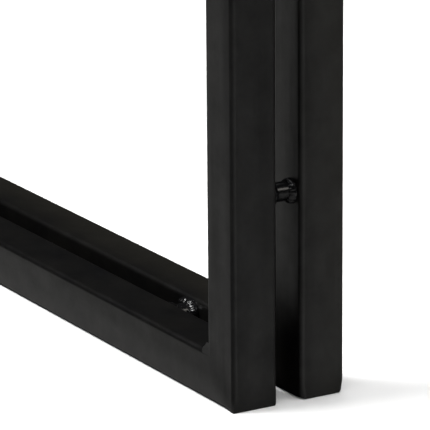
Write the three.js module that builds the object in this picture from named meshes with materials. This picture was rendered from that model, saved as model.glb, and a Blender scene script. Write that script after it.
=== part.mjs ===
// A free-standing firewood log rack: two equal closed frames of mitred square steel tube, one
// behind the other, held a small gap apart by short round bars that are welded between them.
// Millimetres. +X is to the right, +Y runs from the front frame to the rear one and +Z is up.
// The origin is on the ground, in the middle of the footprint.
import * as THREE from "three";

// The rack
const RACK_WIDTH = 600; // over the outer faces of the posts
const RACK_HEIGHT = 400; // over the outer faces of the rails
const FRAME_GAP = 13; // clear space between the two frames

// The square tube
const TUBE = 25; // outer side
const TUBE_WALL = 1.5;
const TUBE_ROUNDING = 2.5; // outer radius of the tube's long edges
const ARC_STEPS = 2; // half the number of flats on each rounded edge

// The spacer bars between the frames
const BAR_DIAMETER = 9.6;
const RAIL_BAR_SETBACK = 105.5; // from a post's outer face to the middle of the nearest rail bar
const RAIL_BAR_DEPTH = 17.5; // from a rail's outer face to the middle of its bars
const POST_BAR_SETBACK = 104; // from a rail's outer face to the middle of the nearest post bar
const POST_BAR_DEPTH = 9.5; // from a post's outer face to the middle of its bars
const ROUND_SIDES = 20; // flats round a bar and its welds

// The welds
const COLLAR_SPREAD = 1.6; // how far a bar's weld spreads over the tube, past the bar
const COLLAR_CLIMB = 3.5; // how far it climbs along the bar
const COLLAR_SWELL = 0.35; // how far its face swells out of the straight line between its toes
const COLLAR_STEPS = 3;
const CORNER_LEG = 4.5; // leg of the weld in an inner corner of a frame
const CORNER_HOLLOW = 0.5; // how far its face dips below the straight line between its toes
const CORNER_INSET = 1; // how far its ends stay in from the front and back of the tube

// Where each frame's front face lies, with the pair centred on the origin
const FRAMES = {
  front: -FRAME_GAP / 2 - TUBE,
  rear: FRAME_GAP / 2,
};

// Each side of the frames, in order round them. A side is built lying along +X with its outer face
// down, and turned about Y into its place. Its far end is the corner that it shares with the next.
const SIDES = [
  { name: "bottom", member: "rail", corner: "bottom_right", turn: 0, x: 0, z: 0 },
  { name: "right", member: "post", corner: "top_right", turn: -90, x: RACK_WIDTH / 2, z: RACK_HEIGHT / 2 },
  { name: "top", member: "rail", corner: "top_left", turn: 180, x: 0, z: RACK_HEIGHT },
  { name: "left", member: "post", corner: "bottom_left", turn: 90, x: -RACK_WIDTH / 2, z: RACK_HEIGHT / 2 },
];

// What differs between a rail and a post: its length and where its two bars are
const MEMBERS = {
  rail: { length: RACK_WIDTH, barSetback: RAIL_BAR_SETBACK, barDepth: RAIL_BAR_DEPTH },
  post: { length: RACK_HEIGHT, barSetback: POST_BAR_SETBACK, barDepth: POST_BAR_DEPTH },
};

const COATS = {
  tube: { color: "#2b2b2c", roughness: 0.5, metalness: 0 }, // satin black powder coat
  bar: { color: "#1d1d1e", roughness: 0.3, metalness: 0 }, // the same coat, glossier on drawn bar
  weld: { color: "#242425", roughness: 0.28, metalness: 0 }, // flowed thick over the weld ripples
};

// A closed square outline with rounded corners, clockwise when used as a hole.
function roundedSquare(path, low, high, radius) {
  const near = low + radius;
  const far = high - radius;
  path.absarc(far, near, radius, -Math.PI / 2, 0);
  path.absarc(far, far, radius, 0, Math.PI / 2);
  path.absarc(near, far, radius, Math.PI / 2, Math.PI);
  path.absarc(near, near, radius, Math.PI, 1.5 * Math.PI);
  path.closePath();
  return path;
}

// A hollow tube along X, centred on it, with its outer face on z = 0 and its front face on y = 0.
// Both ends are mitred: a point slides in along the tube by its distance from the outer face.
function mitredTube(length) {
  const section = roundedSquare(new THREE.Shape(), 0, TUBE, TUBE_ROUNDING);
  const boreRounding = TUBE_ROUNDING - TUBE_WALL;
  section.holes.push(roundedSquare(new THREE.Path(), TUBE_WALL, TUBE - TUBE_WALL, boreRounding));
  const tube = new THREE.ExtrudeGeometry(section, {
    depth: length,
    bevelEnabled: false,
    curveSegments: ARC_STEPS,
  });
  tube.translate(0, 0, -length / 2);
  const [alongX, alongY, alongZ] = [0, 1, 2].map((axis) => new THREE.Vector3().setComponent(axis, 1));
  tube.applyMatrix4(new THREE.Matrix4().makeBasis(alongY, alongZ, alongX));
  const position = tube.attributes.position;
  for (let i = 0; i < position.count; i++) {
    const end = Math.sign(position.getX(i)) * length / 2;
    position.setX(i, end - Math.sign(end) * position.getZ(i));
  }
  return tube;
}

// A round bar along Y from y = 0, as a turned profile so that it matches the welds round it.
function spacerBar() {
  const radius = BAR_DIAMETER / 2;
  const profile = [
    [0, 0],
    [radius, 0],
    [radius, FRAME_GAP],
    [0, FRAME_GAP],
  ].map(([r, y]) => new THREE.Vector2(r, y));
  return new THREE.LatheGeometry(profile, ROUND_SIDES);
}

// The weld round a bar's foot, with the foot on y = 0: a fillet whose face swells a little.
function weldCollar() {
  const radius = BAR_DIAMETER / 2;
  const profile = [new THREE.Vector2(radius, 0)];
  for (let step = 0; step <= COLLAR_STEPS; step++) {
    const share = step / COLLAR_STEPS;
    const swell = COLLAR_SWELL * Math.sin(share * Math.PI);
    profile.push(new THREE.Vector2(
      radius + COLLAR_SPREAD * (1 - share) + swell,
      COLLAR_CLIMB * share + swell,
    ));
  }
  profile.push(profile[0].clone());
  return new THREE.LatheGeometry(profile, ROUND_SIDES);
}

// The weld in the inner corner at the far end of a side, in the side's own axes.
function cornerWeld(length) {
  const cornerX = length / 2 - TUBE;
  const section = new THREE.Shape();
  section.moveTo(cornerX, TUBE);
  section.lineTo(cornerX, TUBE + CORNER_LEG);
  const middle = CORNER_LEG / 2 - CORNER_HOLLOW * Math.SQRT2;
  section.quadraticCurveTo(cornerX - middle, TUBE + middle, cornerX - CORNER_LEG, TUBE);
  section.closePath();
  const bead = new THREE.ExtrudeGeometry(section, {
    depth: TUBE - 2 * CORNER_INSET,
    bevelEnabled: false,
    curveSegments: COLLAR_STEPS,
  });
  bead.rotateX(Math.PI / 2);
  bead.translate(0, TUBE - CORNER_INSET, 0);
  return bead;
}

function namedMesh(name, geometry, coat) {
  const mesh = new THREE.Mesh(geometry, new THREE.MeshStandardMaterial(COATS[coat]));
  mesh.name = name;
  return mesh;
}

// A side's tubes and inner corner welds, one of each on each frame.
function frameMembers(side) {
  const { length } = MEMBERS[side.member];
  return Object.entries(FRAMES).flatMap(([frame, frontFace]) => {
    const tube = namedMesh(`${frame}_${side.name}_${side.member}`, mitredTube(length), "tube");
    const weld = namedMesh(`${frame}_${side.corner}_corner_weld`, cornerWeld(length), "weld");
    tube.position.y = frontFace;
    weld.position.y = frontFace;
    return [tube, weld];
  });
}

// A side's two spacer bars, one near each end, each with the welds that hold its two feet to the tubes.
function spacers(side) {
  const { length, barSetback, barDepth } = MEMBERS[side.member];
  return [-1, 1].map((end, index) => {
    const label = `${side.name}_bar_${index + 1}`;
    const bar = namedMesh(label, spacerBar(), "bar");
    const frontWeld = namedMesh(`${label}_front_weld`, weldCollar(), "weld");
    const rearWeld = namedMesh(`${label}_rear_weld`, weldCollar(), "weld");
    rearWeld.rotation.x = Math.PI;
    rearWeld.position.y = FRAME_GAP;
    const spacer = new THREE.Group();
    spacer.position.set(end * (length / 2 - barSetback), -FRAME_GAP / 2, barDepth);
    return spacer.add(bar, frontWeld, rearWeld);
  });
}

const rack = new THREE.Group();
for (const side of SIDES) {
  const group = new THREE.Group();
  group.position.set(side.x, 0, side.z);
  group.rotation.y = THREE.MathUtils.degToRad(side.turn);
  group.add(...frameMembers(side), ...spacers(side));
  rack.add(group);
}

export default rack;
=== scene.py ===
import math
import random
from typing import NamedTuple

import bmesh
import bpy
from mathutils import Matrix, Vector, noise


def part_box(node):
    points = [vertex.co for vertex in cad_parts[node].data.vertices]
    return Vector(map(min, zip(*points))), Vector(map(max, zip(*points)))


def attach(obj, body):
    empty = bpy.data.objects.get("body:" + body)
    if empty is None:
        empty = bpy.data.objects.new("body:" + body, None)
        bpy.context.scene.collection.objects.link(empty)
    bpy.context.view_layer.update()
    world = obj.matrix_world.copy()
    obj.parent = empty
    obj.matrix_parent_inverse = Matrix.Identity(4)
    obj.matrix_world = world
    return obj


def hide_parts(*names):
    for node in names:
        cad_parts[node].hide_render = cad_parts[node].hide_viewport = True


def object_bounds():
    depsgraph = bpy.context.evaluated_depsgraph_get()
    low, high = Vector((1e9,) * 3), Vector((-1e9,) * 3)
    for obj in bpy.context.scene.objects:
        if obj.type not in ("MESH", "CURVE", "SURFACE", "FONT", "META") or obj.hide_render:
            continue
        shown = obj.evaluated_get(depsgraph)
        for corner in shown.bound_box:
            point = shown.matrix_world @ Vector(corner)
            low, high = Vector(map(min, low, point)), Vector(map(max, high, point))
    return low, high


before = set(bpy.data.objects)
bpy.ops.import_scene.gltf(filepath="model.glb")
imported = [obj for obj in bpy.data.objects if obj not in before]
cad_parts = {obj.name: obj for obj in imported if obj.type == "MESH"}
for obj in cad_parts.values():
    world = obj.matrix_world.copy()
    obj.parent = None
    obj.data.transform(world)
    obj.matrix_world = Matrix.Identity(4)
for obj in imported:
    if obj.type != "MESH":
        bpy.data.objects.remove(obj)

# A welded firewood log rack in satin black powder coat: two closed frames of mitred square tube,
# joined by short round bars. Metres, +X right, +Y from the front frame to the rear one, +Z up.
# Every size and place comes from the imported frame; what follows is the finish that it doesn't hold.
MM = 0.001

# The tube
WALL = 1.5 * MM
TUBE_ROUNDING = 2.5 * MM
ROUNDING_STEPS = 12
CROWN = 0.4 * MM  # how far the middle of a rail's face stands out
POST_CROWN = 0.1 * MM  # and of a post's
BAND = 15 * MM  # half width, across the mitre, of the band that was ground over it
BLEND = 20 * MM  # over which a rail's streaks turn into a post's
STREAK_SQUASH = 0.1  # width of the tube's drawn streaks over their length
BROAD_SEED = (0.0, 0.0, 0.0)
NARROW_SEED = (0.3, 0.0, 0.3)

# How the mitred corners were dressed after welding
GROUND_REACH = 9 * MM  # how far from a corner the dressing changed the tube's rounded edges
SQUARE_REACH = 0.2 * GROUND_REACH  # within which a squared edge is as square as it gets
BLUNT_REACH = 0.8 * GROUND_REACH  # over which a blunted edge returns to the tube's own rounding
FRONT_EASING = 0.5 * MM  # radius left on the front frame's outer corners
REAR_EASING = 1.0 * MM  # and on the rear frame's, which were ground rounder
FRONT_SQUARENESS = 0.85  # how nearly the filled weld squares up the front tubes' front edges
REAR_BLUNTING = 1.8 * MM  # how much the grinding added to the rear tubes' rounding
BLUNT_STEPS = 5
EASING_STEPS = 10
WELD_DISTANCE = 0.002 * MM  # vertices nearer than this are one
SHARP_ANGLE = 32  # degrees between faces, past which an edge is a real one

# The bars and the welds
BAR_STEPS = 72
SINK = 0.3 * MM  # how far a bead reaches into the metal under it
BEAD_PITCH = 1.7 * MM  # from one ripple of a bead to the next
RIPPLE = 0.28 * MM  # from valley to crest of a bead's ripples

# The collar welds, round the bars' feet
SPREAD = 1.5 * MM  # over the tube
CLIMB = 3.5 * MM  # along the bar
COLLAR_TURN_STEPS = 132
COLLAR_FACE_STEPS = 14
COLLAR_SWELL = 0.12  # how far its face bulges, as a share of its spread and climb
COLLAR_WAVES = ((1, 0.16), (2, 0.1), (5, 0.05))  # times its width varies in a turn, and how much
COLLAR_LUMP_SIZE = 2.1 * MM
COLLAR_SWEEP = 2.4  # radians of a ripple by which its middle runs ahead of its edges
BLOB_REACH = 0.4  # radians round the bar over which a blob fades

# The welds in the inner corners
CORNER_LEG = 4.5 * MM
CORNER_INSET = 0.05 * MM  # from the tube's front and back
CORNER_FACE_STEPS = 10
CORNER_RIPPLE_STEPS = 8
CORNER_HOLLOW = 0.3  # how far in its middle is, as a share of its leg: nearly a flat face
CORNER_LUMPS = 0.3 * MM
CORNER_LUMP_SIZE = 4 * MM
CORNER_SEED = 100

# The view
VIEW_AZIMUTH = 59.62
VIEW_ELEVATION = 15.94
VIEW_ROLL = -0.44
VIEW_DISTANCE = 1.644
LENS = 286.7
AIM_RIGHT = -8.9 * MM  # from the rack's front bottom right corner to where the camera looks
AIM_UP = 95.7 * MM

# The studio
SWEEP_RADIUS = 9.0
SWEEP_CURVE = 2.0
SWEEP_HEIGHT = 6.0
SWEEP_CURVE_STEPS = 12
SWEEP_TURN_STEPS = 96
FRONT_GLOW = 0.17  # what the coat mirrors of the floor to the front and back
SIDE_GLOW = 0.58  # and to the sides
SIDE_START = 0.62  # how much of a direction is sideways where the sides begin to show
RIGHT_GAIN = 0.16  # how much brighter the right side is than the middle
ROOM_GLOW = 0.013
FLOOR_END = -0.36  # how much of a direction is upwards where the floor begins to darken
ROOM_START = 0.06  # and where the dark room takes over
CARD_DROP = 0.5 * MM  # of the shadow card below the ground

# Nearly all of a noise lies between these
NOISE_LOW = 0.3
NOISE_HIGH = 0.7

CAD_LOW, CAD_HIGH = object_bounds()
WIDTH, DEPTH, HEIGHT = CAD_HIGH - CAD_LOW
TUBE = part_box("front_bottom_rail")[1].z
HALF_WIDTH = WIDTH / 2
BARS = sorted(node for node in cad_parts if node[:-2].endswith("_bar"))


# ---------------------------------------------------------------- small helpers

def linear(colour):
    """A scene-linear RGBA colour from an sRGB hex value."""
    parts = [int(colour[i:i + 2], 16) / 255 for i in (1, 3, 5)]
    return [c / 12.92 if c <= 0.04045 else ((c + 0.055) / 1.055) ** 2.4 for c in parts] + [1.0]


def smoothstep(low, high, value):
    share = min(max((value - low) / (high - low), 0.0), 1.0)
    return share * share * (3 - 2 * share)


def add(tree, kind, links=None, **settings):
    """Adds a shader node. Settings are its properties, or its inputs by name or number; links are
    inputs fed by other sockets."""
    made = tree.nodes.new("ShaderNode" + kind)
    inputs = settings.pop("inputs", {})
    for name, value in settings.items():
        setattr(made, name, value)
    for name, value in inputs.items():
        made.inputs[name].default_value = value
    for name, socket in (links or {}).items():
        tree.links.new(socket, made.inputs[name])
    return made


def new_material(name):
    """An empty node material with its output, as (material, tree, surface socket)."""
    material = bpy.data.materials.new(name)
    material.use_nodes = True
    tree = material.node_tree
    tree.nodes.clear()
    return material, tree, add(tree, "OutputMaterial").inputs["Surface"]


def object_from(bm, name, material):
    """Makes the bmesh an object of the scene."""
    mesh = bpy.data.meshes.new(name)
    bm.to_mesh(mesh)
    bm.free()
    mesh.materials.append(material)
    made = bpy.data.objects.new(name, mesh)
    bpy.context.scene.collection.objects.link(made)
    return made


def piece_from(bm, name, material, slot, *nodes):
    """Makes the bmesh a piece that stands for the CAD nodes, and sets it riding on the rack."""
    piece = object_from(bm, name, material)
    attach(piece, "root")
    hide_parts(*nodes)
    return piece


def shade_smooth(piece):
    """Smooth shading that stays sharp at the real edges."""
    piece.data.shade_smooth()
    piece.data.set_sharp_from_angle(angle=math.radians(SHARP_ANGLE))


def direction(azimuth, elevation):
    """From the rack towards where a camera at these angles stands: 0 is the front, 90 the right."""
    a, e = math.radians(azimuth), math.radians(elevation)
    return Vector((math.sin(a) * math.cos(e), -math.cos(a) * math.cos(e), math.sin(e)))


# ---------------------------------------------------------------- materials

def frame_shares(tree, place):
    """Three sockets: how much of a post, rather than of a rail, the tube is at a point, blended
    over the mitre between them; how nearly the point lies on the ground band along that mitre; and
    the height of a face that stands out a little along its middle, as a drawn tube's does."""
    split = add(tree, "SeparateXYZ", {"Vector": place})
    across = add(tree, "Math", {0: split.outputs["X"]}, operation="ABSOLUTE")
    from_side = add(tree, "Math", {1: across.outputs[0]}, operation="SUBTRACT", inputs={0: HALF_WIDTH})
    above = add(tree, "Math", {0: split.outputs["Z"]}, operation="SUBTRACT", inputs={1: HEIGHT / 2})
    height = add(tree, "Math", {0: above.outputs[0]}, operation="ABSOLUTE")
    from_end = add(tree, "Math", {1: height.outputs[0]}, operation="SUBTRACT", inputs={0: HEIGHT / 2})
    past = add(tree, "Math", {0: from_end.outputs[0], 1: from_side.outputs[0]}, operation="SUBTRACT")
    on_post = add(tree, "MapRange", {"Value": past.outputs[0]}, interpolation_type="SMOOTHSTEP",
                  inputs={"From Min": -BLEND, "From Max": BLEND})
    away = add(tree, "Math", {0: past.outputs[0]}, operation="ABSOLUTE")
    band = add(tree, "MapRange", {"Value": away.outputs[0]}, interpolation_type="SMOOTHSTEP",
               inputs={"From Max": BAND, "To Min": 1.0, "To Max": 0.0})
    inwards = add(tree, "Mix", {0: on_post.outputs[0], 2: from_end.outputs[0], 3: from_side.outputs[0]})
    off = add(tree, "Math", {0: inwards.outputs[0]}, operation="MULTIPLY_ADD",
              inputs={1: 2 / TUBE, 2: -1.0})
    square = add(tree, "Math", {0: off.outputs[0], 1: off.outputs[0]}, operation="MULTIPLY")
    # How far a face's edges lie under its middle, as a share of CROWN
    fall = add(tree, "MapRange", {"Value": on_post.outputs[0]},
               inputs={"To Min": -1.0, "To Max": -POST_CROWN / CROWN})
    crown = add(tree, "Math", {0: square.outputs[0], 1: fall.outputs[0]}, operation="MULTIPLY")
    return on_post.outputs[0], band.outputs[0], crown.outputs[0]


def drawn_streaks(tree, place, width, seed, on_post):
    """A height socket for a noise of the given width across a tube, drawn out along its length."""
    streaks = []
    for squash in ((STREAK_SQUASH, 1, 1), (1, 1, STREAK_SQUASH)):
        along = add(tree, "Mapping", {"Vector": place}, inputs={"Location": seed, "Scale": squash})
        streaks.append(add(tree, "TexNoise", {"Vector": along.outputs[0]},
                           inputs={"Scale": 1 / width, "Detail": 1.0, "Roughness": 0.4}))
    both = add(tree, "Mix", {0: on_post, 2: streaks[0].outputs["Fac"], 3: streaks[1].outputs["Fac"]})
    return both.outputs[0]


def wandering(tree, place, size, low, high, detail, roughness):
    """A socket for a value that wanders from low to high over patches of about the given size."""
    patches = add(tree, "TexNoise", {"Vector": place},
                  inputs={"Scale": 1 / size, "Detail": detail, "Roughness": roughness})
    value = add(tree, "MapRange", {"Value": patches.outputs["Fac"]}, inputs={
        "From Min": NOISE_LOW, "From Max": NOISE_HIGH, "To Min": low, "To Max": high})
    return value.outputs[0]


def satin_powder_coat():
    """Black polyester powder coat on mild steel tube: near-black, satin, with a fine orange peel.
    Towards the back of the rear frame the coat colour is painted a shade lighter and warmer: a
    painted sheen, standing in for the brighter light that falls on the rear frame. The flats are
    very slightly uneven, so reflections wander. Across each mitre the weld was ground back with a
    flap disc, and over those scratches the coat is less flat and shines less. Handling has left it
    faintly smudged."""
    material, tree, surface = new_material("satin_black_powder_coat")
    place = add(tree, "TexCoord").outputs["Object"]
    depth = add(tree, "SeparateXYZ", {"Vector": place}).outputs["Y"]
    # Painted sheen: the coat colour is painted lighter and warmer towards the back of the rear frame.
    # This stands in for the brighter light that falls on that frame. The mottle added to it is the
    # coat's own random tone.
    painted_rear_sheen = add(tree, "MapRange", {"Value": depth}, inputs={
        "From Min": 4 * MM, "From Max": 30 * MM, "To Min": 0.0, "To Max": 0.95})
    mottle = wandering(tree, place, size=24 * MM, low=0.0, high=0.38, detail=4.0, roughness=0.55)
    sheen_and_mottle = add(tree, "Math", {0: painted_rear_sheen.outputs[0], 1: mottle}, operation="ADD")
    coat_and_sheen_tint = add(tree, "ValToRGB", {"Fac": sheen_and_mottle.outputs[0]})
    darkest, lightest = coat_and_sheen_tint.color_ramp.elements
    darkest.position, darkest.color = 0.0, linear("#060607")
    lightest.position, lightest.color = 1.0, linear("#171613")

    on_post, ground, crown = frame_shares(tree, place)
    rough = wandering(tree, place, size=9 * MM, low=0.30, high=0.37, detail=3.0, roughness=0.6)
    ground_shine = add(tree, "MapRange", {"Value": ground}, inputs={"To Min": 0.5, "To Max": 0.34})
    smudge = wandering(tree, place, size=16 * MM, low=0.8, high=1.2, detail=5.0, roughness=0.62)
    shine = add(tree, "Math", {0: ground_shine.outputs[0], 1: smudge}, operation="MULTIPLY")

    # Unevenness of the drawn tube, of the ground band, and the peel of the coat
    broad = drawn_streaks(tree, place, 22 * MM, BROAD_SEED, on_post)
    narrow = drawn_streaks(tree, place, 6 * MM, NARROW_SEED, on_post)
    dressed = add(tree, "TexNoise", {"Vector": place},
                  inputs={"Scale": 1 / (8 * MM), "Detail": 2.0, "Roughness": 0.5})
    dressed_here = add(tree, "Math", {0: dressed.outputs["Fac"], 1: ground}, operation="MULTIPLY")
    # Orange peel is about 1 mm across on real coats; drawn a little coarser so that it shows
    peel = add(tree, "TexNoise", {"Vector": place},
               inputs={"Scale": 1 / (1.6 * MM), "Detail": 2.0, "Roughness": 0.5})
    full = add(tree, "Bump", {"Height": crown}, inputs={"Strength": 1.0, "Distance": CROWN})
    low = add(tree, "Bump", {"Height": broad, "Normal": full.outputs[0]},
              inputs={"Strength": 1.0, "Distance": 1.6 * MM})
    lines = add(tree, "Bump", {"Height": narrow, "Normal": low.outputs[0]},
                inputs={"Strength": 1.0, "Distance": 0.12 * MM})
    middle = add(tree, "Bump", {"Height": dressed_here.outputs[0], "Normal": lines.outputs[0]},
                 inputs={"Strength": 0.5, "Distance": 0.2 * MM})
    fine = add(tree, "Bump", {"Height": peel.outputs["Fac"], "Normal": middle.outputs[0]},
               inputs={"Strength": 0.35, "Distance": 0.05 * MM})
    coat = add(tree, "BsdfPrincipled", {
        "Base Color": coat_and_sheen_tint.outputs["Color"], "Roughness": rough, "Normal": fine.outputs[0],
        "Specular IOR Level": shine.outputs[0],
    }, inputs={"IOR": 1.5})
    tree.links.new(coat.outputs[0], surface)
    return material


def gloss_powder_coat():
    """The same coat on bright drawn round bar: the bar is smoother than the tube, so the coat
    levels out glossier, with faint draw lines along the bar under it."""
    material, tree, surface = new_material("black_powder_coat_on_drawn_bar")
    place = add(tree, "TexCoord").outputs["Object"]
    lengthways = add(tree, "Mapping", {"Vector": place}, inputs={"Scale": (1.0, 0.06, 1.0)})
    lines = add(tree, "TexNoise", {"Vector": lengthways.outputs[0]},
                inputs={"Scale": 1 / (0.9 * MM), "Detail": 2.0})
    rough = add(tree, "MapRange", {"Value": lines.outputs["Fac"]}, inputs={
        "From Min": NOISE_LOW, "From Max": NOISE_HIGH, "To Min": 0.2, "To Max": 0.28})
    drawn = add(tree, "Bump", {"Height": lines.outputs["Fac"]},
                inputs={"Strength": 0.25, "Distance": 0.06 * MM})
    coat = add(tree, "BsdfPrincipled", {"Roughness": rough.outputs[0], "Normal": drawn.outputs[0]},
               inputs={"Base Color": linear("#0c0c0d"), "IOR": 1.5})
    tree.links.new(coat.outputs[0], surface)
    return material


def flowed_powder_coat():
    """Powder coat over a weld bead: it flows off the ripples' crests and pools between them, so it
    is thick, glossy and lumpy, with pinhead bumps of spatter under it."""
    material, tree, surface = new_material("black_powder_coat_over_weld")
    place = add(tree, "TexCoord").outputs["Object"]
    lumps = add(tree, "TexNoise", {"Vector": place},
                inputs={"Scale": 1 / (1.9 * MM), "Detail": 2.0, "Roughness": 0.4})
    rough = add(tree, "MapRange", {"Value": lumps.outputs["Fac"]}, inputs={
        "From Min": NOISE_LOW, "From Max": NOISE_HIGH, "To Min": 0.13, "To Max": 0.24})
    flow = add(tree, "Bump", {"Height": lumps.outputs["Fac"]},
               inputs={"Strength": 0.5, "Distance": 0.25 * MM})
    coat = add(tree, "BsdfPrincipled", {"Roughness": rough.outputs[0], "Normal": flow.outputs[0]},
               inputs={"Base Color": linear("#0d0d0e"), "IOR": 1.5})
    tree.links.new(coat.outputs[0], surface)
    return material


# ---------------------------------------------------------------- the frames' tubes

def bevelled_prism(length, side, rounding):
    """A square prism lying along X, centred where the tube is, with its long edges rounded and its
    ends open."""
    bm = bmesh.new()
    bmesh.ops.create_cube(bm, size=1, matrix=Matrix.Diagonal((length, side, side, 1)))
    bmesh.ops.translate(bm, vec=(0, TUBE / 2, TUBE / 2), verts=bm.verts)
    long_edges = [e for e in bm.edges if abs(e.verts[0].co.x - e.verts[1].co.x) > length / 2]
    bmesh.ops.bevel(bm, geom=long_edges, offset=rounding, segments=ROUNDING_STEPS, profile=0.5,
                    affect="EDGES", material=-1)
    ends = [f for f in bm.faces if abs(f.normal.x) > 0.9]
    bmesh.ops.delete(bm, geom=ends, context="FACES_ONLY")
    return bm


def cut(bm, point, normal, clear=False):
    """Cuts the mesh along a plane, and where asked to clears what lies past it."""
    bmesh.ops.bisect_plane(bm, geom=[*bm.verts, *bm.edges, *bm.faces], plane_co=point,
                           plane_no=normal, clear_outer=clear)


def corner_cuts(easing):
    """Distances from a corner at which the tube gets a ring of vertices, to shape the corner."""
    arc = [easing * (1 - math.sin(math.radians(45 * i / EASING_STEPS))) for i in range(EASING_STEPS)]
    reach = [GROUND_REACH * (i + 1) / EASING_STEPS for i in range(EASING_STEPS)]
    return sorted(set(arc + reach))


def square_up(co, share):
    """Moves a point of a rounded long edge of the front out towards the square corner, by a share
    of the way."""
    middle = Vector((co.x, TUBE / 2, TUBE / 2))
    core = TUBE / 2 - TUBE_ROUNDING
    offset = co - middle
    if offset.y > 0:
        return co
    inner = Vector((0, max(-core, min(core, offset.y)), max(-core, min(core, offset.z))))
    out = offset - inner
    if min(abs(out.y), abs(out.z)) < 1e-7:
        return co
    squared = out * (TUBE_ROUNDING / max(abs(out.y), abs(out.z)))
    return middle + inner + out.lerp(squared, share)


def round_off(co, radius):
    """Pulls a point of the tube in onto a section whose long edges have a larger radius."""
    middle = Vector((co.x, TUBE / 2, TUBE / 2))
    core = TUBE / 2 - radius
    offset = co - middle
    inner = Vector((0, max(-core, min(core, offset.y)), max(-core, min(core, offset.z))))
    out = offset - inner
    return co if out.length <= radius else middle + inner + out * (radius / out.length)


def ease_corner(co, end, easing):
    """Pulls a point near the frame's outer corner in onto the ground radius there."""
    along, up = end - abs(co.x), co.z
    if along >= easing or up >= easing:
        return co
    out = Vector((easing - along, easing - up))
    if out.length <= easing:
        return co
    out *= easing / out.length
    return Vector((math.copysign(end - easing + out.x, co.x), co.y, easing - out.y))


def dress_edges(tube, end, easing, squareness, blunting):
    """Gives the tube lines of vertices near its ends, and there moves its rounded edges out, where
    the weld filled them, or in, where they were ground blunter."""
    if blunting:
        for i in range(1, BLUNT_STEPS + 1):
            line = TUBE_ROUNDING + blunting * i / BLUNT_STEPS
            for across in (line, TUBE - line):
                cut(tube, (0, across, 0), (0, 1, 0))
                cut(tube, (0, 0, across), (0, 0, 1))
    for distance in corner_cuts(easing):
        for sign in (-1, 1):
            cut(tube, (sign * (end - distance), 0, 0), (sign, 0, 0))
    for vert in tube.verts:
        along = end - abs(vert.co.x)
        share = squareness * (1 - smoothstep(SQUARE_REACH, GROUND_REACH, along))
        vert.co = square_up(vert.co, share)
        if blunting:
            near = 1 - smoothstep(0, BLUNT_REACH, along)
            vert.co = round_off(vert.co, TUBE_ROUNDING + blunting * near)


def mitred_tube(length, easing, squareness, blunting):
    """A hollow tube lying along X with its outer face down, mitred at both ends and dressed near
    them, with its outer corners eased."""
    end = length / 2
    outer = bevelled_prism(length, TUBE, TUBE_ROUNDING)
    dress_edges(outer, end, easing, squareness, blunting)
    inner = bevelled_prism(length, TUBE - 2 * WALL, TUBE_ROUNDING - WALL)
    bmesh.ops.reverse_faces(inner, faces=inner.faces)
    for shell in (outer, inner):
        for sign in (-1, 1):
            cut(shell, (sign * end, 0, 0), (sign, 0, 1), clear=True)
    for vert in outer.verts:
        vert.co = ease_corner(vert.co, end, easing)
    bore = bpy.data.meshes.new("bore")
    inner.to_mesh(bore)
    inner.free()
    outer.from_mesh(bore)
    bpy.data.meshes.remove(bore)
    for sign in (-1, 1):
        rim = [e for e in outer.edges if e.is_boundary and sign * e.verts[0].co.x > 0]
        bmesh.ops.bridge_loops(outer, edges=rim)
    bmesh.ops.remove_doubles(outer, verts=outer.verts, dist=WELD_DISTANCE)
    return outer


# Each side of the frames: its member, how far it is turned about Y from lying along the ground,
# and where the middle of its outer face is. Its far end is the corner that it shares with the next.
SIDES = {
    "bottom": ("rail", "bottom_right", 0, (0, 0)),
    "right": ("post", "top_right", -90, (HALF_WIDTH, HEIGHT / 2)),
    "top": ("rail", "top_left", 180, (0, HEIGHT)),
    "left": ("post", "bottom_left", 90, (-HALF_WIDTH, HEIGHT / 2)),
}
LENGTHS = {"rail": WIDTH, "post": HEIGHT}
# Each frame's easing, squareness and blunting at its corners
FRAMES = {
    "front": (FRONT_EASING, FRONT_SQUARENESS, 0.0),
    "rear": (REAR_EASING, 0.0, REAR_BLUNTING),
}


def side_place(side, front_face):
    """The matrix that carries a side from lying along X on the ground into its place."""
    _, _, turn, (x, z) = SIDES[side]
    return Matrix.Translation((x, front_face, z)) @ Matrix.Rotation(math.radians(turn), 4, "Y")


def make_tubes(material):
    for frame_name, dressing in FRAMES.items():
        front_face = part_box(f"{frame_name}_bottom_rail")[0].y
        for side, (member, _, _, _) in SIDES.items():
            bm = mitred_tube(LENGTHS[member], *dressing)
            bm.transform(side_place(side, front_face))
            node = f"{frame_name}_{side}_{member}"
            piece = piece_from(bm, f"{node}_tube", material, "tube_coat", node)
            shade_smooth(piece)
            # Keeps the flats optically flat
            weighted = piece.modifiers.new("flats", "WEIGHTED_NORMAL")
            weighted.keep_sharp = True


# ---------------------------------------------------------------- the bars and the welds

def make_bars(material):
    for node in BARS:
        low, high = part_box(node)
        radius = (high.x - low.x) / 2
        bm = bmesh.new()
        bmesh.ops.create_cone(bm, cap_ends=True, segments=BAR_STEPS, radius1=radius, radius2=radius,
                              depth=high.y - low.y)
        bm.transform(Matrix.Translation((low + high) / 2) @ Matrix.Rotation(math.pi / 2, 4, "X"))
        shade_smooth(piece_from(bm, f"{node}_rod", material, "bar_coat", node))


def chain(bm, points):
    """A run of vertices joined by edges."""
    verts = [bm.verts.new(point) for point in points]
    for pair in zip(verts, verts[1:]):
        bm.edges.new(pair)
    return verts


def ripple(phase):
    """The height of a laid bead's ripples: round on top, with sharp valleys, and near 0 on average."""
    return abs(math.sin(phase / 2)) - 0.6


class Lay(NamedTuple):
    """How a collar weld was laid round its bar."""
    width: float  # its usual width, as a share of SPREAD and CLIMB
    lumps: float  # how lumpy it is past its ripples
    stops: tuple  # degrees round the bar at which it was stopped, leaving a blob; empty for anywhere
    blob_width: float  # how much wider it is at a blob
    blob_height: float  # and how much prouder


POST_LAY = Lay(width=1.0, lumps=0.25 * MM, stops=(), blob_width=0.2, blob_height=0.0)
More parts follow.
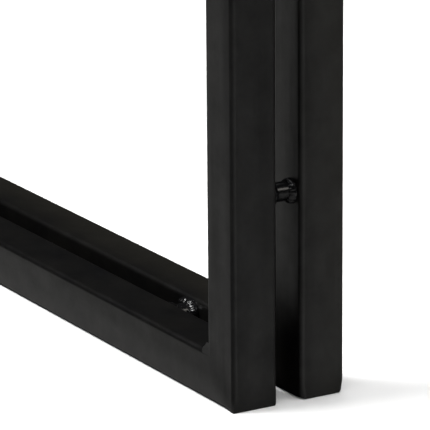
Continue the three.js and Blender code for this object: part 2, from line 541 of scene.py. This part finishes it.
# The rails' were laid down in the narrow gap, so they are rougher
RAIL_LAY = Lay(width=1.35, lumps=0.6 * MM, stops=(136, 8), blob_width=0.5, blob_height=1.5 * MM)


def plain_collar(radius):
    """A collar weld as a plain ring round the foot of a bar that stands on z = 0."""
    bm = bmesh.new()
    face = []
    for i in range(COLLAR_FACE_STEPS + 1):
        share = i / COLLAR_FACE_STEPS
        swell = COLLAR_SWELL * math.sin(math.pi * share)
        face.append((radius + SPREAD * (1 - share + swell), 0, CLIMB * (share + swell)))
    root = radius - SINK
    verts = chain(bm, [(root, 0, -SINK), (radius + SPREAD, 0, -SINK), *face, (root, 0, CLIMB)])
    bm.edges.new((verts[-1], verts[0]))
    bmesh.ops.spin(bm, geom=[*bm.verts, *bm.edges], cent=(0, 0, 0), axis=(0, 0, 1), dvec=(0, 0, 0),
                   angle=math.tau, steps=COLLAR_TURN_STEPS, use_merge=True)
    bmesh.ops.remove_doubles(bm, verts=bm.verts, dist=1e-7)
    return bm


def collar_bead(radius, seed, lay):
    """The weld round the foot of a bar that stands on z = 0. Its face is a fillet laid in short
    overlapping ripples, wider in some places than others, with a blob where it was stopped."""
    chance = random.Random(seed)
    bm = plain_collar(radius)
    waves = [(k, size, chance.uniform(0, math.tau)) for k, size in COLLAR_WAVES]
    stops = [math.radians(turn) for turn in lay.stops] or [chance.uniform(0, math.tau)]
    ripples = round(math.tau * (radius + SPREAD / 2) / BEAD_PITCH)
    slide = Vector([chance.uniform(0, 90) for _ in range(3)])
    for vert in bm.verts:
        out = Vector((vert.co.x, vert.co.y, 0))
        spread, climb = out.length - radius, vert.co.z
        if spread < -SINK / 2:
            continue
        turn = math.atan2(out.y, out.x)
        aways = [abs((turn - stop + math.pi) % math.tau - math.pi) for stop in stops]
        blob = max(math.exp(-(away / BLOB_REACH) ** 2) for away in aways)
        width = lay.width + sum(size * math.sin(k * turn + phase) for k, size, phase in waves)
        width += lay.blob_width * blob
        share = min(max(climb / CLIMB, 0), 1)
        crest = math.sin(math.pi * share) ** 0.5 if 0 < share < 1 else 0.0
        lift = RIPPLE * ripple(ripples * turn + COLLAR_SWEEP * crest)
        lift += lay.lumps * noise.noise(vert.co / COLLAR_LUMP_SIZE + slide)
        lift += lay.blob_height * blob
        normal = (out.normalized() * CLIMB + Vector((0, 0, SPREAD))).normalized()
        shaped = out.normalized() * (radius + spread * width)
        shaped.z = climb * (0.5 + width / 2) if climb > 0 else climb
        vert.co = shaped + normal * (lift * crest)
    bmesh.ops.recalc_face_normals(bm, faces=bm.faces)
    return bm


def plain_corner(corner):
    """An inner corner's weld as a plain bar along Y, in the corner between a tube below it and one
    to its right."""
    bm = bmesh.new()
    face = []
    for i in range(CORNER_FACE_STEPS + 1):
        turn = math.pi / 2 * i / CORNER_FACE_STEPS
        hollow = 1 - CORNER_HOLLOW * math.sin(2 * turn)
        face.append(corner + Vector((-math.sin(turn), 0, math.cos(turn))) * CORNER_LEG * hollow)
    root = corner + Vector((SINK, 0, -SINK))
    points = [root, face[0] + Vector((SINK, 0, 0)), *face, face[-1] - Vector((0, 0, SINK))]
    verts = chain(bm, points)
    bm.edges.new((verts[-1], verts[0]))
    across = TUBE - 2 * CORNER_INSET
    steps = round(across / BEAD_PITCH) * CORNER_RIPPLE_STEPS
    bmesh.ops.spin(bm, geom=[*bm.verts, *bm.edges], cent=corner, axis=(0, 1, 0),
                   dvec=(0, across / steps, 0), angle=0, steps=steps)
    bmesh.ops.holes_fill(bm, edges=[e for e in bm.edges if e.is_boundary])
    return bm


def corner_bead(length, seed):
    """The weld in the inner corner at the far end of a side, in the side's own axes: a nearly flat
    fillet across the tube, laid in ripples."""
    chance = random.Random(seed)
    corner = Vector((length / 2 - TUBE, CORNER_INSET, TUBE))
    bm = plain_corner(corner)
    phase = chance.uniform(0, math.tau)
    slide = Vector([chance.uniform(0, 90) for _ in range(3)])
    diagonal = Vector((-1, 0, 1)).normalized()
    for vert in bm.verts:
        out = vert.co - corner
        # Its root fills in behind the rounded edges of the tubes, so that its ends are flush
        edge = min(vert.co.y, TUBE - vert.co.y, TUBE_ROUNDING)
        rounded = TUBE_ROUNDING - math.sqrt(TUBE_ROUNDING ** 2 - (TUBE_ROUNDING - edge) ** 2)
        if out.x > 0.5 * SINK:
            vert.co.x += rounded
        if out.z < -0.5 * SINK:
            vert.co.z -= rounded
        # Only the face is rippled, most along its middle
        if out.x > -0.2 * SINK or out.z < 0.2 * SINK:
            continue
        reach = Vector((out.x, 0, out.z)).length / CORNER_LEG
        crest = max(1 - reach, 0.0) * 2
        lift = RIPPLE * ripple(math.tau * out.y / BEAD_PITCH + phase + 2 * crest)
        lift += CORNER_LUMPS * noise.noise(vert.co / CORNER_LUMP_SIZE + slide)
        vert.co += diagonal * lift * min(crest, 1)
    bmesh.ops.recalc_face_normals(bm, faces=bm.faces)
    return bm


def make_collars(material):
    for index, node in enumerate(BARS):
        low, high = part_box(node)
        radius = (high.x - low.x) / 2
        middle = (low + high) / 2
        lay = RAIL_LAY if node.startswith(("bottom", "top")) else POST_LAY
        for foot, y, turn in (("front", low.y, -90), ("rear", high.y, 90)):
            bead = collar_bead(radius, 2 * index + (foot == "rear"), lay)
            bead.transform(Matrix.Translation((middle.x, y, middle.z))
                           @ Matrix.Rotation(math.radians(turn), 4, "X"))
            weld = f"{node}_{foot}_weld"
            piece_from(bead, f"{weld}_bead", material, "weld_coat", weld).data.shade_smooth()


def make_corner_beads(material):
    seed = CORNER_SEED
    for frame_name in FRAMES:
        front_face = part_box(f"{frame_name}_bottom_rail")[0].y
        for side, (member, corner, _, _) in SIDES.items():
            bead = corner_bead(LENGTHS[member], seed)
            bead.transform(side_place(side, front_face))
            weld = f"{frame_name}_{corner}_corner_weld"
            shade_smooth(piece_from(bead, f"{weld}_bead", material, "tube_coat", weld))
            seed += 1


# ---------------------------------------------------------------- the studio

def make_sweep():
    """A plain pale floor that curves up into a wall far behind, all the way round."""
    material, tree, surface = new_material("pale_floor")
    paint = add(tree, "BsdfDiffuse", inputs={"Color": linear("#f4f4f4")})
    tree.links.new(paint.outputs[0], surface)
    bm = bmesh.new()
    arc = [math.pi / 2 * i / SWEEP_CURVE_STEPS for i in range(SWEEP_CURVE_STEPS + 1)]
    flat = SWEEP_RADIUS - SWEEP_CURVE
    bend = [(flat + SWEEP_CURVE * math.sin(a), 0, SWEEP_CURVE * (1 - math.cos(a))) for a in arc]
    chain(bm, [(0, 0, 0), *bend, (SWEEP_RADIUS, 0, SWEEP_HEIGHT)])
    bmesh.ops.spin(bm, geom=[*bm.verts, *bm.edges], cent=(0, 0, 0), axis=(0, 0, 1), dvec=(0, 0, 0),
                   angle=math.tau, steps=SWEEP_TURN_STEPS, use_merge=True)
    bmesh.ops.remove_doubles(bm, verts=bm.verts, dist=1e-6)
    bmesh.ops.recalc_face_normals(bm, faces=bm.faces)
    sweep = object_from(bm, "studio_sweep", material)
    sweep.data.shade_smooth()
    sweep.visible_glossy = False


def softbox(name, azimuth, elevation, distance, size, radiance, colour="#ffffff", glossy=True):
    """A square light that faces the rack from a direction given as for a camera."""
    back = direction(azimuth, elevation)
    light = bpy.data.lights.new(name, "AREA")
    light.shape = "SQUARE"
    light.size = size
    light.energy = radiance * math.pi * size * size
    light.color = linear(colour)[:3]
    lamp = bpy.data.objects.new(name, light)
    lamp.location = Vector((0, 0, HEIGHT / 2)) + back * distance
    lamp.rotation_mode = "QUATERNION"
    lamp.rotation_quaternion = (-back).to_track_quat("-Z", "Y")
    lamp.visible_glossy = glossy
    lamp.visible_camera = False
    bpy.context.scene.collection.objects.link(lamp)


def make_world():
    """What the coat mirrors: a pale floor with the white side walls behind it, dimmer to the front
    and back, and a dark studio above."""
    world = bpy.data.worlds.new("studio")
    bpy.context.scene.world = world
    world.use_nodes = True
    tree = world.node_tree
    tree.nodes.clear()
    way = add(tree, "SeparateXYZ", {"Vector": add(tree, "TexCoord").outputs["Generated"]})
    sideways = add(tree, "Math", {0: way.outputs["X"]}, operation="ABSOLUTE")
    low = add(tree, "MapRange", {"Value": sideways.outputs[0]}, interpolation_type="SMOOTHSTEP",
              inputs={"From Min": SIDE_START, "To Min": FRONT_GLOW, "To Max": SIDE_GLOW})
    rightward = add(tree, "Math", {0: way.outputs["X"]}, operation="MULTIPLY_ADD",
                    inputs={1: RIGHT_GAIN, 2: 1.0})
    ground = add(tree, "Math", {0: low.outputs[0], 1: rightward.outputs[0]}, operation="MULTIPLY")
    shade = add(tree, "MapRange", {"Value": way.outputs["Z"], "To Min": ground.outputs[0]},
                interpolation_type="SMOOTHSTEP",
                inputs={"From Min": FLOOR_END, "From Max": ROOM_START, "To Max": ROOM_GLOW})
    sky = add(tree, "Background", {"Strength": shade.outputs[0]}, inputs={"Color": linear("#fffefb")})
    tree.links.new(sky.outputs[0], add(tree, "OutputWorld").inputs["Surface"])


def make_shadow_card():
    """The floor mirrored in the coat is the studio's, so a black card, seen in reflections only,
    keeps the ground between and under the frames dark there, as it is in their shade."""
    material, tree, surface = new_material("black_card")
    tree.links.new(add(tree, "BsdfDiffuse", inputs={"Color": linear("#050505")}).outputs[0], surface)
    bm = bmesh.new()
    place = Matrix.Translation((0, 0, -CARD_DROP)) @ Matrix.Diagonal((WIDTH, DEPTH, 1, 1))
    bmesh.ops.create_grid(bm, x_segments=1, y_segments=1, size=0.5, matrix=place)
    card = object_from(bm, "shadow_card", material)
    card.visible_camera = False
    card.visible_diffuse = False
    card.visible_shadow = False


def make_camera():
    """The view of the right-hand bottom corner, from the right and a little above."""
    back = direction(VIEW_AZIMUTH, VIEW_ELEVATION)
    right = direction(VIEW_AZIMUTH + 90, 0)
    up = back.cross(right)
    roll = Matrix.Rotation(math.radians(VIEW_ROLL), 3, back)
    right, up = roll @ right, roll @ up
    corner = Vector((HALF_WIDTH, CAD_LOW.y, 0))
    aim = corner + right * AIM_RIGHT + up * AIM_UP
    data = bpy.data.cameras.new("camera")
    data.lens = LENS
    data.clip_start, data.clip_end = 0.05, 50
    camera = bpy.data.objects.new("camera", data)
    turn = Matrix((right, up, back)).transposed().to_4x4()
    camera.matrix_world = Matrix.Translation(aim + back * VIEW_DISTANCE) @ turn
    bpy.context.scene.collection.objects.link(camera)
    bpy.context.scene.camera = camera


# ---------------------------------------------------------------- the scene

make_camera()
make_world()
make_sweep()
make_shadow_card()
softbox("overhead", azimuth=0, elevation=90, distance=3.2, size=9.0, radiance=1.1, glossy=False)
softbox("high_front", azimuth=-10, elevation=60, distance=1.6, size=0.6, radiance=24.0)
softbox("high_right", azimuth=90, elevation=80, distance=1.6, size=0.5, radiance=12.0)
softbox("right_rear", azimuth=123, elevation=29, distance=1.8, size=0.45, radiance=3.4,
        colour="#fffaf2")

tube_coat = satin_powder_coat()
bar_coat = gloss_powder_coat()
weld_coat = flowed_powder_coat()
make_tubes(tube_coat)
make_bars(bar_coat)
make_collars(weld_coat)
make_corner_beads(tube_coat)

bpy.context.scene.view_settings.view_transform = "Standard"
bpy.context.view_layer.update()
